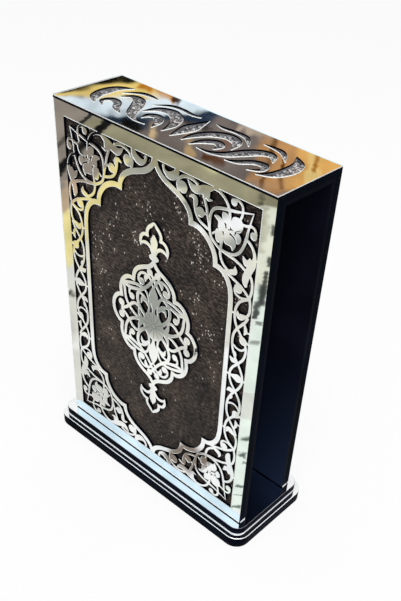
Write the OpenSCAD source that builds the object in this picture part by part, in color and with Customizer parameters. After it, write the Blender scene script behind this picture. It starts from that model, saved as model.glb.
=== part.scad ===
// Slipcase for a book, standing on a stepped mirror base. The closed end is on the left and the open end on
// the right. Millimetres, +Z up, front towards -Y, origin under the middle of the base.

/* [Case] */
// Width of the case along the front
case_w = 180; // [160:1:220]
// Depth of the case from front to back
case_d = 58; // [50:1:80]
// Height of the case above the mirror it stands on
case_h = 258; // [235:1:300]

/* [Walls] */
// Thickness of the mirror plates outside
plate_t = 2; // [1.5:0.1:3]
// Thickness of the panels behind the mirror plates
panel_t = 3; // [2:0.1:4]
// Thickness of the black boards inside
board_t = 3; // [2:0.1:4]
// Length of a tab in the corner joints
tab_length = 24; // [14:1:30]
// Gap left round a tab in its notch
tab_gap = 0.1; // [0.05:0.05:0.25]

/* [Base] */
// Thickness of the mirror sheet on each tier
mirror_t = 2; // [1.5:0.1:3]
// Thickness of the upper tier's board
upper_board_t = 4; // [3:0.1:8]
// Thickness of the lower tier's board
lower_board_t = 7; // [4:0.1:12]
// Ledge of the upper tier round a case that stands in its middle
ledge = 7; // [5:0.1:14]
// Distance from the middle of the base to the middle of the case, towards the open end
case_off_x = 2; // [0:0.1:3]
// Distance from the middle of the base to the middle of the case, towards the front
case_off_y = 0.8; // [0:0.1:3]
// Step from the upper tier out to the lower tier
tier_step = 3.7; // [2:0.1:12]
// Corner radius of the upper tier
upper_corner_r = 8; // [4:0.5:16]
// Corner radius of the lower tier
lower_corner_r = 11; // [4:0.5:20]
// Thickness of the adhesive foam under the case and between the tiers
foam_t = 1; // [0.6:0.1:1.6]
// Distance that the foam under the case stays behind its outer faces
foam_setback = 2; // [1:0.1:4]
// Distance that the foam under the case stays behind the inner faces of the walls
foam_inner_setback = 1.2; // [0.5:0.1:1.4]
// Distance that the foam between the tiers stays inside the upper tier
tier_foam_inset = 0.4; // [0.2:0.1:3]

/* [Covers] */
// Width of the plain border round a cover
border_w = 9; // [6:0.5:12]
// Width of the scalloped contour round the field
contour_w = 3.6; // [2.8:0.1:4.2]
// Width of the scroll stems
stem_w = 1.8; // [1.5:0.1:2.1]
// Width of the medallion across its side lobes
medallion_w = 81.6; // [70:0.2:90]
// Height of the medallion with both pendants
medallion_h = 156.4; // [140:0.2:170]
// Width of the medallion's outline
medallion_line = 3; // [2.4:0.1:3.4]
// Width of the medallion's main strands
medallion_stem = 2.3; // [2:0.1:2.6]
// Width of the medallion's scrolls
scroll_w = 1.9; // [1.6:0.1:2.2]

/* [Top and end ornament] */
// Length of the cut-out ornament along the top
top_ornament_l = 158; // [120:1:172]
// Width of the cut-out ornament across the top
top_ornament_w = 36; // [28:1:44]
// Length of the cut-out ornament up the closed end
end_ornament_l = 158; // [120:1:200]
// Width of the cut-out ornament across the closed end
end_ornament_w = 32; // [26:1:38]

/* [Hidden] */

// Turn that one piece of a drawn curve takes, in degrees, and the fewest pieces between two drawn points of
// a leaf and of a cut-out
piece_turn = 12;
swell_pieces = 4;
cutout_pieces = 6;
// Sides of a round bud and of the round corners of the base
bud_sides = 20;
corner_sides = 48;
// Narrowest tip of a leaf
tip_w = 0.3;
// Windows narrower than twice this are closed, and the rest lose this hair all round in doing so
window_close = 0.15;
window_hair = 0.01;
// Length by which a cut runs past a face
past = 1;

black = [0.04, 0.05, 0.08];
mirror_silver = [0.80, 0.81, 0.80];
suede_brown = [0.20, 0.16, 0.14];
glitter_grey = [0.55, 0.54, 0.53];
foam_white = [0.92, 0.93, 0.95];

// Stack of the base, from the floor up
lower_mirror_z = lower_board_t;
tier_foam_z = lower_mirror_z + mirror_t;
upper_board_z = tier_foam_z + foam_t;
upper_mirror_z = upper_board_z + upper_board_t;
base_h = upper_mirror_z + mirror_t;
upper_w = case_w + 2 * ledge;
upper_d = case_d + 2 * ledge;
lower_w = upper_w + 2 * tier_step;
lower_d = upper_d + 2 * tier_step;

// Levels of the case: foot of the walls, ceiling, top of the boards, top of the plates beside the top plate
foot_z = base_h + foam_t;
top_z = base_h + case_h;
plate_top_z = top_z - plate_t;
board_top_z = plate_top_z - panel_t;
ceiling_z = board_top_z - board_t;

// Lines of the case in plan
skin_t = plate_t + panel_t;
wall_t = skin_t + board_t;
half_w = case_w / 2;
half_d = case_d / 2;
board_left = skin_t - half_w;
inner_left = board_left + board_t;
board_half_d = half_d - skin_t;
inner_half_d = board_half_d - board_t;

// Foam strips under the walls: left end, width, and the line where the long ones meet the end one
foam_left = foam_setback - half_w;
foam_w = wall_t - foam_setback - foam_inner_setback;
foam_half_d = half_d - foam_setback - foam_w;

// Places of the corner tabs: three up the closed end, three along the top, one over the closed end
end_tab_z = [for (part = [1, 3, 5]) foot_z + (ceiling_z - foot_z) * part / 6];
top_tab_x = [for (part = [1, 3, 5]) inner_left + (half_w - inner_left) * part / 6];

// A cover and its opening, and the half size that the scrolls are drawn at
cover_h = plate_top_z - foot_z;
cover_mid_z = (plate_top_z + foot_z) / 2;
open_half = [half_w - border_w, cover_h / 2 - border_w];
drawn_cover = [81, 118.5];
drawn_medallion = [40.8, 78.2];
drawn_strip = [79, 17];

// Strands that hold the middle of the medallion, with the width they have beyond its other strands, and its
// rosette: half size, scallops, their part of the size and the turn between two points of its outline
arm_extra = 0.3;
medallion_arm = medallion_stem + arm_extra;
boss_half = [10, 11.2];
boss_scallops = 12;
boss_wave = 0.025;
boss_turn = 5;

// Point on the smooth curve between b and c, with neighbours a and d
function on_curve(a, b, c, d, t) = 0.5 * (2 * b + (c - a) * t
    + (2 * a - 5 * b + 4 * c - d) * t * t + (3 * b - a - 3 * c + d) * t * t * t);

// Angle between two directions, and the pieces for a stretch that turns by two half angles
function angle_between(u, v) = abs(atan2(u.x * v.y - u.y * v.x, u * v));
function turn_at(before, here, after) =
    before == here || here == after ? 0 : angle_between(here - before, after - here);
function pieces(a, b, c, d, least) =
    max(least, ceil((turn_at(a, b, c) + turn_at(b, c, d)) / 2 / piece_turn));

// Points of the smooth curve from b to just before c
function curve_pieces(a, b, c, d, least) =
    let (n = pieces(a, b, c, d, least)) [for (k = [0 : n - 1]) on_curve(a, b, c, d, k / n)];

// Smooth open line through the points
function through(points, least = 1) = let (last = len(points) - 1) [
    for (i = [0 : last - 1])
        each curve_pieces(points[max(i - 1, 0)], points[i], points[i + 1], points[min(i + 2, last)], least),
    points[last]
];

// Smooth closed line through the points
function round_loop(points) = let (n = len(points)) [
    for (i = [0 : n - 1])
        each curve_pieces(points[(i + n - 1) % n], points[i], points[(i + 1) % n], points[(i + 2) % n], 1)
];

// Unit vector across a line at its point i
function across(line, i) =
    let (d = line[min(i + 1, len(line) - 1)] - line[max(i - 1, 0)]) [-d.y, d.x] / norm(d);

// Width at the part t of the way along a list of widths
function width_at(widths, t) =
    let (last = len(widths) - 1, s = t * last, i = min(floor(s), last - 1))
    max(tip_w / $unit,
        on_curve(widths[max(i - 1, 0)], widths[i], widths[i + 1], widths[min(i + 2, last)], s - i));

// Band along a line, with a width that follows the list
module band(line, widths) {
    last = len(line) - 1;
    half = [for (i = [0 : last]) across(line, i) * width_at(widths, i / last) / 2];
    polygon([for (i = [0 : last]) line[i] + half[i], for (i = [last : -1 : 0]) line[i] - half[i]]);
}

// Stretches a drawing from the half size it is drawn at to the half size it is fitted to. Inside, $unit is
// what a drawn millimetre comes out as, so widths that are set in real millimetres are divided by it
module fit_drawing(drawn, target) {
    stretch = [target.x / drawn.x, target.y / drawn.y];
    $unit = sqrt(stretch.x * stretch.y);
    scale(stretch) children();
}

// Flat leaf along a curve, with a width that swells and tapers
module leaf(points, widths, least = swell_pieces) {
    band(through(points, least), widths);
}

// Stem of one drawn width along a curve
module stem(points, width) {
    band(through(points), [width, width]);
}

// Petal inside a smooth loop
module petal(points) {
    polygon(round_loop(points));
}

// Round bud at the end of a scroll
module bud(place, radius) {
    translate(place) circle(radius, $fn = bud_sides);
}

// Copies a quarter of a drawing into all four quarters
module four_ways() {
    for (sx = [-1, 1], sy = [-1, 1]) scale([sx, sy]) children();
}

// Closes windows that are too narrow to cut, and keeps sharp corners of the rest inside the drawn windows
module clean_windows() {
    close = window_close / $unit;
    hair = window_hair / $unit;
    offset(delta = -hair) intersection() {
        children();
        offset(delta = close) offset(delta = -close - hair) children();
    }
}

// Does the same for the windows between drawn strands
module clean_strands() {
    close = window_close / $unit;
    hair = window_hair / $unit;
    offset(delta = hair) {
        children();
        offset(delta = -close - hair) offset(delta = close) children();
    }
}

// Centre lines of the scalloped contour in one quarter: ogee and first lobe, second lobe, third lobe, side
contour_top = [[0, 119], [1.6, 114.4], [5, 110.7], [10, 107.7], [15, 105.8], [20, 103.9], [25, 100.7],
    [28.3, 97], [30, 93], [30.4, 88.4]];
contour_mid = [[28.6, 90.2], [33, 90.4], [37, 89.6], [41, 87.8], [45, 84.8], [48.6, 80], [50.4, 75.5],
    [51, 69.6]];
contour_low = [[49.2, 71.4], [54, 71], [58, 69], [61.3, 65.3], [63.6, 60], [64.5, 54], [64.7, 47]];
contour_side = [[64.7, 47.5], [64.7, 0]];

module contour() {
    for (line = [contour_top, contour_mid, contour_low, contour_side]) stem(line, contour_w / $unit);
}

// Everything inside the contour's centre line, in one quarter
module field() {
    polygon(concat([[0, 0]], through(contour_top), through(contour_mid), through(contour_low),
        contour_side));
}

// Flower inside the pointed loop of a corner
module corner_flower() {
    petal([[60.4, 99.4], [60.7, 105], [63, 107.1], [66.8, 107], [69, 104.4], [68.6, 100.8], [66.2, 98.5]]);
    petal([[53.8, 106.4], [57.8, 106.4], [59.2, 103], [58.9, 99], [57.6, 96.6], [56.8, 100.4],
        [54.2, 101.4]]);
    petal([[47.8, 102], [50.8, 103.1], [54.2, 101.6], [56.2, 99], [56.4, 96], [54, 94.8], [51, 96],
        [50.8, 99.6]]);
    petal([[50, 94.8], [54.4, 94.4], [55.3, 91], [53.6, 87.4], [50.8, 86.9], [49.3, 90.4]]);
    petal([[56.2, 94.4], [61.2, 94.7], [64.2, 92.6], [64.9, 89.6], [62.7, 85.8], [61.2, 87.8], [56.8, 88.3],
        [55.6, 91]]);
    petal([[59.2, 96.8], [62, 98.2], [66.4, 97.8], [68.4, 95.4], [67.6, 92.6], [65.4, 91.6], [63.6, 94.6]]);
    bud([57.6, 95.5], 2.2);
    stem([[47, 90.4], [50, 93], [54, 95.4]], 1.2);
}

// Pointed loop round the flower, and the scrolls that leave it towards the top and the side
module corner_scrolls() {
    line_w = stem_w / $unit;
    loop_widths = [line_w, line_w, line_w, line_w, line_w, line_w, 0.6];
    leaf([[46.3, 87.8], [44.9, 92], [44.6, 97], [45.2, 102], [47.3, 105.7], [51, 107.8], [57, 109.2],
        [64, 110.5], [75.8, 113.7]], loop_widths);
    leaf([[46.3, 87.8], [49.5, 85.2], [54, 83.2], [59.5, 82.9], [64.5, 84.2], [68.3, 87.4], [70.8, 92.5],
        [72.2, 98], [72.9, 103], [75.6, 114]], loop_widths);
    stem([[48, 86.2], [53, 83.2], [59, 82], [65, 81.2], [70, 79.5], [74, 77.4]], line_w);
    stem([[58.9, 98], [59.3, 103], [58.9, 108], [57.2, 112], [54.2, 115.4], [50, 117.5], [45.5, 117.6]],
        line_w);
    leaf([[46, 117.4], [41, 115.3], [36, 112.9], [31, 112.2], [26.4, 115.8]], [1.8, 4.4, 5, 4.6, 0.4]);
    leaf([[41.5, 114.6], [41.7, 111.5], [43, 109.7], [45.9, 110.3]], [4.5, 4, 2.4, 0.4]);
    stem([[34.8, 115.4], [31, 117], [26.5, 117.2], [22.2, 115.8], [19.4, 112.8], [18.7, 109.6],
        [19.8, 105.4]], line_w);
    bud([22.8, 109.7], 3.7);
    leaf([[18.4, 119.4], [17, 115], [12.4, 112.7], [8.4, 114], [6.9, 117]], [2.6, 4.8, 4.8, 2.4, 1.6]);
    bud([7.2, 117], 1.1);
    stem([[45, 91.5], [44, 96], [42.6, 100.5], [41.9, 104], [40.4, 107.8], [38.9, 111.4]], line_w);
    leaf([[45.4, 91.4], [41, 92.6], [37, 94.4], [34.4, 97.4], [33.1, 101.5], [32.9, 105]],
        [1.8, 1.8, 1.8, 2, 2.4, 3]);
    leaf([[33.4, 103], [33, 106.2], [30.8, 107.2], [28.2, 106.2]], [2.8, 3.6, 2.6, 0.8]);
    bud([37.3, 99.8], 3.1);
    stem([[37.3, 99.8], [42.5, 100.6]], 1.6);
    stem([[66.3, 106], [67.6, 109], [68, 112.4], [67.2, 115.4], [64.6, 117.2], [61.6, 116.6]], 1.6);
    bud([61.4, 115.2], 2.2);
    stem([[67.6, 104.4], [71, 104.7], [74.6, 105.9], [77.4, 105], [78.6, 102]], 1.6);
    bud([76.9, 100.8], 2.4);
    stem([[54.8, 90.5], [54.2, 86], [53.8, 81.5], [55, 77], [57.6, 74], [60.5, 72.2]], line_w);
    leaf([[59.6, 71.4], [63.6, 72.4], [66, 73.9], [65.7, 77.2]], [1.6, 3.4, 3.6, 0.4]);
    stem([[57.5, 71.2], [62, 69.7], [67, 67.9], [71.5, 66.2], [75, 63.8], [78.2, 61]], line_w);
    bud([69.5, 63.9], 3.1);
    stem([[66.8, 63.5], [67.1, 60.8], [69.2, 59.1], [73, 58.8], [77.8, 60.8]], 1.5);
    leaf([[71, 97.2], [74.8, 95.6], [77.6, 92.6], [79, 88.8], [78.6, 84], [76.2, 79], [74.3, 74],
        [73.9, 70.5], [75, 67.4]], [1.8, 1.8, 1.9, 2.4, 4, 4.8, 4.8, 4.2, 1.6]);
    leaf([[77.4, 86], [75.5, 83.2], [73, 83], [70.6, 86.2]], [4, 4.4, 4.4, 0.4]);
    stem([[76.2, 76.6], [78.2, 74.6], [79.4, 70.5], [79.4, 66], [78.6, 62.6], [77.4, 60.4]], line_w);
    stem([[79, 87], [82, 87]], 1.4);
}

// Two strands that cross down the side, with their leaves and the bridges that hold them
module side_vine() {
    line_w = stem_w / $unit;
    stem([[78.4, 61.5], [79.4, 57], [79.4, 52], [78, 48.6], [75.4, 46.9]], line_w);
    leaf([[76.6, 47.6], [73.6, 46], [71.4, 46.2], [70.4, 49]], [2.4, 4.4, 3.8, 0.6]);
    stem([[78.2, 60.8], [74.6, 58.4], [71.4, 55.6], [69.3, 51.4], [68.6, 46.4], [69.3, 41.2], [71.5, 36.8],
        [74.6, 33.2]], line_w);
    bud([76.7, 29.8], 2.9);
    leaf([[74.4, 33.4], [75.8, 31.3], [78.2, 29.7], [82, 29.9]], [1.8, 3.4, 3, 1.2]);
    stem([[78.4, 29], [79.6, 24.8], [79.3, 20], [77.6, 15.4], [74.5, 11.2], [71, 7.2], [69, 3.2], [68.5, 0]],
        line_w);
    stem([[79.4, 0], [78.6, 4], [76.8, 7.8], [74.5, 11.2], [72, 14.6], [69.7, 19.4], [68.6, 24.4],
        [68.7, 29.6], [69.7, 33.4], [71.5, 36.8], [74.2, 40.2], [77, 43.8], [78.9, 47.8]], line_w);
    leaf([[76.2, 42.8], [77.7, 39.7], [78, 37.2], [77, 34.8]], [1.4, 2.2, 2.6, 0.6]);
    stem([[78, 37], [82, 37.8]], 1.2);
    stem([[69.2, 24], [71.6, 22.6], [74.4, 22.1], [77, 23], [79.4, 25.6]], 1.4);
    leaf([[74.3, 11.4], [71.6, 12], [69.6, 12.2], [67.7, 14]], [1.4, 3.4, 3.4, 0.6]);
    leaf([[69.9, 19.4], [71.5, 18], [72.7, 16.2]], [1, 2, 0.5]);
    leaf([[79.6, 0], [77.6, 0], [75, 0], [72, 0], [68.6, 0]], [1.4, 4.6, 6, 3.4, 0.8]);
    stem([[79, 0], [82, 0]], 1.6);
    stem([[64.7, 0], [68.6, 0]], 1.4);
    stem([[64.7, 46.4], [68.8, 46.4]], 1.4);
}

// Windows between the border and the contour in one quarter of a cover
module quarter_windows() {
    clean_windows() difference() {
        square(drawn_cover);
        field();
        contour();
        corner_flower();
        corner_scrolls();
        side_vine();
    }
}

// Opening of the field inside the contour
module field_window() {
    clean_windows() four_ways() difference() {
        field();
        contour();
    }
}

// Pierced mirror plate of a cover: border, contour, corner scrolls and side vines in one sheet
module cover_frame() {
    linear_extrude(plate_t) difference() {
        square([case_w, cover_h], center = true);
        fit_drawing(drawn_cover, open_half) {
            field_window();
            four_ways() quarter_windows();
        }
    }
}

// Outline of the medallion in one quarter, from the neck to the side
medallion_top = [[0, 49.8], [2.2, 46.8], [5.5, 44.4], [9.5, 42.6], [13.5, 40.4], [16.5, 37.4], [18.4, 33.6],
    [19, 28.4]];
medallion_mid = [[17.6, 29.2], [22, 29.4], [25.6, 28], [28.8, 25], [30.9, 21], [31.6, 16.5], [30.9, 10.8]];
medallion_low = [[29.6, 11.8], [34, 10.3], [37, 7.2], [38.8, 3.6], [39.3, 0]];

module medallion_outline() {
    for (line = [medallion_top, medallion_mid, medallion_low]) stem(line, medallion_line / $unit);
}

// Scrolls, leaves and buds inside one quarter of the medallion
module medallion_scrolls() {
    strand_w = medallion_stem / $unit;
    thin_w = scroll_w / $unit;
    arm_w = medallion_arm / $unit;
    leaf([[0, 9], [0, 13.4], [0, 17.5], [0, 24.5], [0, 32]], [3.4, 2.8, 6.2, 8.2, 0.6]);
    stem([[-3.4, 40.6], [-0.6, 38.4], [1.4, 35.2], [3.6, 32], [6, 29.2], [9, 26.4]], strand_w);
    stem([[0, 31], [2.2, 34]], 1.6);
    bud([3.6, 41], 2.6);
    stem([[1.6, 34.8], [4.2, 37.2], [8, 38.4], [11.6, 37.2], [13.8, 34.2], [13.9, 30.8], [11.4, 28.8]],
        thin_w);
    bud([11, 31], 2.6);
    leaf([[4.6, 37.4], [7.2, 35.8], [7.6, 32.2]], [1.8, 3.4, 0.6]);
    stem([[8.4, 26.6], [13, 26.8], [18, 26.2], [23, 24.6], [30.6, 22]], strand_w);
    leaf([[13.4, 23.6], [18, 22.2], [22.5, 21.2], [28.4, 22]], [2, 2.4, 2.8, 1.8]);
    stem([[8.6, 26.4], [12.2, 24], [14.7, 20], [15.2, 16], [13.8, 11.6], [11, 8], [7.6, 5]],
        arm_w);
    stem([[9, 26.6], [6.2, 24.2], [4.7, 20.8], [3.9, 17], [4, 13], [4.9, 8]], thin_w);
    stem([[4.5, 14.4], [6.2, 17.8], [9.2, 20.4], [13, 21.4]], thin_w);
    leaf([[4.8, 14.4], [7.2, 17.6], [10.4, 17.6], [11.8, 13.6]], [1.2, 3.4, 3.4, 0.5]);
    stem([[21.5, 21], [23.2, 18.6], [22.6, 15.2]], thin_w);
    bud([20.6, 14.8], 2.5);
    stem([[28.4, 22.2], [27.7, 18], [27.3, 13.6], [26, 9.4], [23.6, 5.8], [20.4, 3.2], [16.4, 1.2], [9, 0]],
        strand_w);
    stem([[8.6, 5.6], [13, 9.4], [17, 10.7], [20.6, 9], [23.6, 5.8], [26.6, 3], [31.4, 0]], strand_w);
    leaf([[10.6, 1], [13.2, 4], [14.4, 9.4]], [3, 3, 0.8]);
    bud([31.2, 4.9], 2.8);
    stem([[30, 0.6], [31.2, 4.9]], thin_w);
}

// Tulip pendant above the medallion, half of it on each side of the middle line
module pendant() {
    leaf([[0, 77.6], [2.4, 75], [4.9, 72.6], [6.1, 69.8], [5.7, 66.2]], [1.2, 2.4, 2.4, 2.4, 2.4]);
    leaf([[4.9, 67.2], [8.4, 67], [11, 65], [12, 62], [11.8, 57.6]], [2.3, 2.3, 2.3, 2.3, 0.8]);
    leaf([[12, 58.8], [9.4, 60.8], [6, 61.2], [3.2, 59.6], [1.2, 56.4], [0.6, 53]],
        [0.8, 2.2, 2.4, 2.4, 2.4, 2.4]);
    leaf([[0, 56], [0, 60], [0, 65], [0, 69.3]], [3.4, 4.8, 6.2, 0.5]);
    petal([[0, 50.9], [2.6, 51.1], [4.4, 53], [2.6, 54.9], [0, 55.1], [-1, 53]]);
    stem([[0, 53], [0, 48]], 3);
}

// Scalloped rosette in the middle of the medallion
module boss() {
    rosette = [for (turn = [0 : boss_turn : 360 - boss_turn])
        (1 + boss_wave * cos(boss_scallops * turn)) * [boss_half.x * cos(turn), boss_half.y * sin(turn)]];
    polygon(rosette);
}

// Medallion with its two pendants, in one sheet
module medallion() {
    linear_extrude(plate_t) fit_drawing(drawn_medallion, [medallion_w, medallion_h] / 2) clean_strands() {
        boss();
        four_ways() {
            medallion_outline();
            medallion_scrolls();
            pendant();
        }
    }
}

// One leaf of the cut-out ornament
module cutout(points, widths) {
    leaf(points, widths, cutout_pieces);
}

// Cut-out leaf ornament, half of it on each side of the middle
module leaf_cutouts() {
    for (side = [-1, 1]) scale([side, 1]) {
        cutout([[0, -16], [0, -9], [0, 0], [0, 8], [0, 16]], [0.6, 6, 10.5, 6, 0.6]);
        cutout([[8, -15], [9, -6], [14, 3], [23, 8], [32, 5], [36, -4]], [0.6, 5.5, 7.5, 8, 6, 0.6]);
        cutout([[6.5, 15.5], [13, 14.8], [22, 15.8], [31, 14.4], [39, 7]], [0.6, 2.8, 3.2, 3.6, 0.6]);
        cutout([[15, -16], [18, -8], [24, -3], [29, -5.5], [29, -11]], [0.6, 5, 6, 5, 0.6]);
        cutout([[21, -16], [30, -15.4], [38, -10.5], [44, -1], [50, 6], [57, 7], [62, 1]],
            [0.6, 3, 6.5, 8.5, 7.5, 5, 0.6]);
        cutout([[43, 15.4], [50, 16], [58, 14.4], [66, 6.5]], [0.6, 3, 3.8, 0.6]);
        cutout([[42, -16], [49, -12.8], [55, -6.6], [61.5, -5.4], [64, -11], [58, -16]],
            [0.6, 4.4, 5.2, 5, 3.4, 0.6]);
        cutout([[66, 16.6], [73, 9.5], [74.6, 0], [72, -9.5], [65, -16.6]], [0.6, 7, 9, 7, 0.6]);
    }
}

// Mirror plate with the leaf ornament cut through it
module cut_plate(size, ornament) {
    linear_extrude(plate_t) difference() {
        square(size, center = true);
        fit_drawing(drawn_strip, ornament / 2) clean_windows() leaf_cutouts();
    }
}

// Sheet with round corners, centred
module round_sheet(w, d, r, t) {
    linear_extrude(t) {
        square([w - 2 * r, d], center = true);
        square([w, d - 2 * r], center = true);
        for (sx = [-1, 1], sy = [-1, 1]) translate([sx * (w / 2 - r), sy * (d / 2 - r)])
            circle(r, $fn = corner_sides);
    }
}

// Moves a piece of the case from the middle of the base to where the case stands
module on_base() {
    translate([case_off_x, -case_off_y, 0]) children();
}

// Turns a shape drawn in the front view to stand with its outer face on the front or the back of the case
module at_front(depth) {
    on_base() translate([0, depth - half_d, 0]) rotate([90, 0, 0]) children();
}

module at_back(depth) {
    on_base() rotate(180) translate([0, depth - half_d, 0]) rotate([90, 0, 0]) children();
}

module lower_tier_board() {
    color(black) round_sheet(lower_w, lower_d, lower_corner_r, lower_board_t);
}

module lower_tier_mirror() {
    color(mirror_silver) translate([0, 0, lower_mirror_z])
        round_sheet(lower_w, lower_d, lower_corner_r, mirror_t);
}

module tier_foam() {
    inset = 2 * tier_foam_inset;
    color(foam_white) translate([0, 0, tier_foam_z])
        round_sheet(upper_w - inset, upper_d - inset, upper_corner_r - tier_foam_inset, foam_t);
}

module upper_tier_board() {
    color(black) translate([0, 0, upper_board_z])
        round_sheet(upper_w, upper_d, upper_corner_r, upper_board_t);
}

module upper_tier_mirror() {
    color(mirror_silver) translate([0, 0, upper_mirror_z])
        round_sheet(upper_w, upper_d, upper_corner_r, mirror_t);
}

// Foam strip under a long wall, flush with the open end
module wall_foam() {
    translate([foam_left, foam_setback - half_d, base_h]) cube([half_w - foam_left, foam_w, foam_t]);
}

module front_foam() {
    color(foam_white) on_base() wall_foam();
}

module back_foam() {
    color(foam_white) on_base() mirror([0, 1, 0]) wall_foam();
}

// Foam strip under the closed end, between the other two
module end_foam() {
    color(foam_white) on_base() translate([foam_left, -foam_half_d, base_h])
        cube([foam_w, 2 * foam_half_d, foam_t]);
}

// Long wall board in the front view, notched at the closed end and along the top
module wall_board() {
    notch = tab_length + 2 * tab_gap;
    deep = board_t + tab_gap;
    linear_extrude(board_t) difference() {
        translate([board_left, foot_z]) square([half_w - board_left, board_top_z - foot_z]);
        for (z = end_tab_z) translate([board_left - past, z - notch / 2]) square([deep + past, notch]);
        for (x = top_tab_x) translate([x - notch / 2, board_top_z - deep]) square([notch, deep + past]);
    }
}

module front_board() {
    color(black) at_front(wall_t) wall_board();
}

module back_board() {
    color(black) at_back(wall_t) mirror([1, 0, 0]) wall_board();
}

// Board of the closed end, with tabs into both walls and a notch for the top
module end_board() {
    notch = tab_length + 2 * tab_gap;
    deep = board_t + tab_gap;
    color(black) on_base() translate([board_left, 0, 0]) rotate([90, 0, 90])
    linear_extrude(board_t) difference() {
        union() {
            translate([-inner_half_d, foot_z]) square([2 * inner_half_d, board_top_z - foot_z]);
            for (z = end_tab_z) translate([-board_half_d, z - tab_length / 2])
                square([2 * board_half_d, tab_length]);
        }
        translate([-notch / 2, board_top_z - deep]) square([notch, deep + past]);
    }
}

// Board under the top, with tabs into both walls and the closed end
module top_board() {
    color(black) on_base() translate([0, 0, ceiling_z]) linear_extrude(board_t) {
        translate([inner_left, -inner_half_d]) square([half_w - inner_left, 2 * inner_half_d]);
        for (x = top_tab_x) translate([x - tab_length / 2, -board_half_d])
            square([tab_length, 2 * board_half_d]);
        translate([board_left, -tab_length / 2]) square([2 * board_t, tab_length]);
    }
}

// Panel behind a cover's plate
module cover_panel() {
    translate([-half_w, foot_z]) linear_extrude(panel_t) square([case_w, board_top_z - foot_z]);
}

module front_panel() {
    color(suede_brown) at_front(skin_t) cover_panel();
}

module front_frame() {
    color(mirror_silver) at_front(plate_t) translate([0, cover_mid_z]) cover_frame();
}

module front_medallion() {
    color(mirror_silver) at_front(plate_t) translate([0, cover_mid_z]) medallion();
}

module back_panel() {
    color(suede_brown) at_back(skin_t) cover_panel();
}

module back_frame() {
    color(mirror_silver) at_back(plate_t) translate([0, cover_mid_z]) cover_frame();
}

module back_medallion() {
    color(mirror_silver) at_back(plate_t) translate([0, cover_mid_z]) medallion();
}

module end_panel() {
    color(glitter_grey) on_base() translate([plate_t - half_w, -board_half_d, foot_z])
        cube([panel_t, 2 * board_half_d, board_top_z - foot_z]);
}

module end_plate() {
    color(mirror_silver) on_base() translate([-half_w, 0, cover_mid_z]) rotate([0, 90, 0])
        cut_plate([cover_h, 2 * board_half_d], [end_ornament_l, end_ornament_w]);
}

module top_panel() {
    color(glitter_grey) on_base() translate([plate_t - half_w, plate_t - half_d, board_top_z])
        cube([case_w - plate_t, case_d - 2 * plate_t, panel_t]);
}

module top_plate() {
    color(mirror_silver) on_base() translate([0, 0, plate_top_z])
        cut_plate([case_w, case_d], [top_ornament_l, top_ornament_w]);
}

lower_tier_board();
lower_tier_mirror();
tier_foam();
upper_tier_board();
upper_tier_mirror();
front_foam();
back_foam();
end_foam();
front_board();
back_board();
end_board();
top_board();
front_panel();
front_frame();
front_medallion();
back_panel();
back_frame();
back_medallion();
end_panel();
end_plate();
top_panel();
top_plate();
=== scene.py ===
# Book slipcase on a stepped mirror base: finishes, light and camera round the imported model
import bmesh
import bpy
import math
from mathutils import Matrix, Vector


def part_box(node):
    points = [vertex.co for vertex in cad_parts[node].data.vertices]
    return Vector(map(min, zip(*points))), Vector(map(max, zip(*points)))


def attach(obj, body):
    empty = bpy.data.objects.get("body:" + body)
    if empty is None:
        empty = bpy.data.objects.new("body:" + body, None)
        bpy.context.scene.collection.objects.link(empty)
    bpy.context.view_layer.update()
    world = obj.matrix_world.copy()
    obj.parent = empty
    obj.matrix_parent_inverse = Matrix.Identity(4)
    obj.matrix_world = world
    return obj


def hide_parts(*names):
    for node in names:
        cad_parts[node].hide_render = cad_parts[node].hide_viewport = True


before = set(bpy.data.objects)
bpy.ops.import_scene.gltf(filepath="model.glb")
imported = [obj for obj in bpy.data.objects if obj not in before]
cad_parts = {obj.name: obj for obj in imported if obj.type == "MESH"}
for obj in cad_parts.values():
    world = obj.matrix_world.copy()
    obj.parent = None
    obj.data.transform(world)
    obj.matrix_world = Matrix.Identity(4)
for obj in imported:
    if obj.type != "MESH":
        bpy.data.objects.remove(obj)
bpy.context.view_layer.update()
scene = bpy.context.scene
scene.view_settings.view_transform = "Standard"
mm = 0.001   # in metres
print("frame loaded with", len(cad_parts), "nodes")

# Camera, fitted to the corners of the case in the photograph
cameraSetup = {
    "place": (306.9, -329.3, 453.2),   # mm
    "turn": (49.05, -4.19, 41.34),     # degrees about X, Y and Z
    "focalPixels": 774.7,
    "axisPixel": (232.8, 398.9),       # where the lens axis meets the picture
    "picture": (401, 601),             # pixels
    "sensor": 36,                      # mm
    "clipStart": 10,                   # mm
}


def makeCamera(setup):
    wide, high = setup["picture"]
    axisX, axisY = setup["axisPixel"]
    lens = bpy.data.cameras.new("camera")
    lens.sensor_width = setup["sensor"]
    lens.lens = setup["focalPixels"] * lens.sensor_width / high
    lens.shift_x = (wide / 2 - axisX) / high
    lens.shift_y = (axisY - high / 2) / high
    lens.clip_start = setup["clipStart"] * mm
    camera = bpy.data.objects.new("camera", lens)
    camera.location = Vector(setup["place"]) * mm
    camera.rotation_euler = [math.radians(a) for a in setup["turn"]]
    scene.collection.objects.link(camera)
    scene.camera = camera


makeCamera(cameraSetup)
print("camera set")


# Colour, node and material helpers
def hexColor(text):   # sRGB hex value to linear colour
    parts = [int(text[i:i + 2], 16) / 255 for i in (1, 3, 5)]
    return [c / 12.92 if c <= 0.04045 else ((c + 0.055) / 1.055) ** 2.4 for c in parts] + [1]


def setNode(tree, node, values=None, links=None):
    for key, value in (values or {}).items():
        if isinstance(key, str) and hasattr(node, key):
            setattr(node, key, value)
        else:
            node.inputs[key].default_value = value
    for key, (source, output) in (links or {}).items():
        tree.links.new(source.outputs[output], node.inputs[key])


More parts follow.
